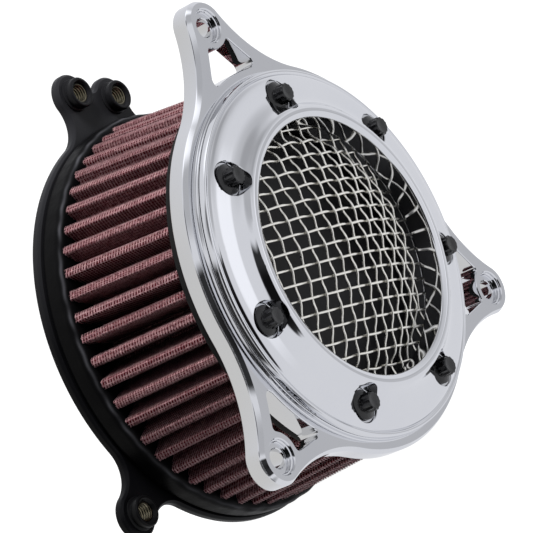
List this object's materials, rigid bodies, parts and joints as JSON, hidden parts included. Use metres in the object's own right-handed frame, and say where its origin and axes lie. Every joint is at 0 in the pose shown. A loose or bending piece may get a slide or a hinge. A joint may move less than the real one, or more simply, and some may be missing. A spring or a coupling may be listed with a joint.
{
  "type": "motorcycle air filter",
  "caption": "Open-element engine air filter with a lobed backing plate, pleated round element, chromed three-lobe faceplate and a bolted ring that clamps a domed wire screen",
  "frame": {"origin": "centre of the intake port, on the flat rear face of the backing plate that meets the throttle body", "axes": "+Y points out of the rear face along the port axis, so the front of the filter looks along -Y; +Z points to the top lobe of the faceplate; +X completes a right-handed frame and is on the viewer's right seen from the front"},
  "size_m": [0.2008, 0.096, 0.2019],
  "materials": {
    "satin_black_plate": "satin",
    "black_rubber": "satin",
    "black_steel": "satin",
    "thread_steel": "polished",
    "red_cotton": "matte",
    "wire_gauze": "satin",
    "chrome_plate": "polished",
    "stainless_wire": "polished"
  },
  "bodies": {
    "root": {"backing_plate": "satin_black_plate", "intake_seal": "black_rubber", "cover_standoff_top_left": "black_steel", "cover_standoff_lower_left": "black_steel", "cover_standoff_lower_right": "black_steel", "cover_standoff_top_right": "black_steel", "thread_insert_top_left": "thread_steel", "thread_insert_lower_left": "thread_steel", "thread_insert_lower_right": "thread_steel", "thread_insert_top_right": "thread_steel", "filter_base_ring": "black_rubber", "filter_pleats": "red_cotton", "filter_outer_gauze": "wire_gauze", "filter_inner_gauze": "wire_gauze", "filter_front_ring": "black_rubber", "filter_end_cap": "black_rubber", "faceplate": "chrome_plate", "mesh_screen": "stainless_wire", "trim_ring": "chrome_plate", "ring_bolt_1": "black_steel", "ring_bolt_2": "black_steel", "ring_bolt_3": "black_steel", "ring_bolt_4": "black_steel", "ring_bolt_5": "black_steel", "ring_bolt_6": "black_steel", "ring_bolt_7": "black_steel"}
  },
  "joints": []
}
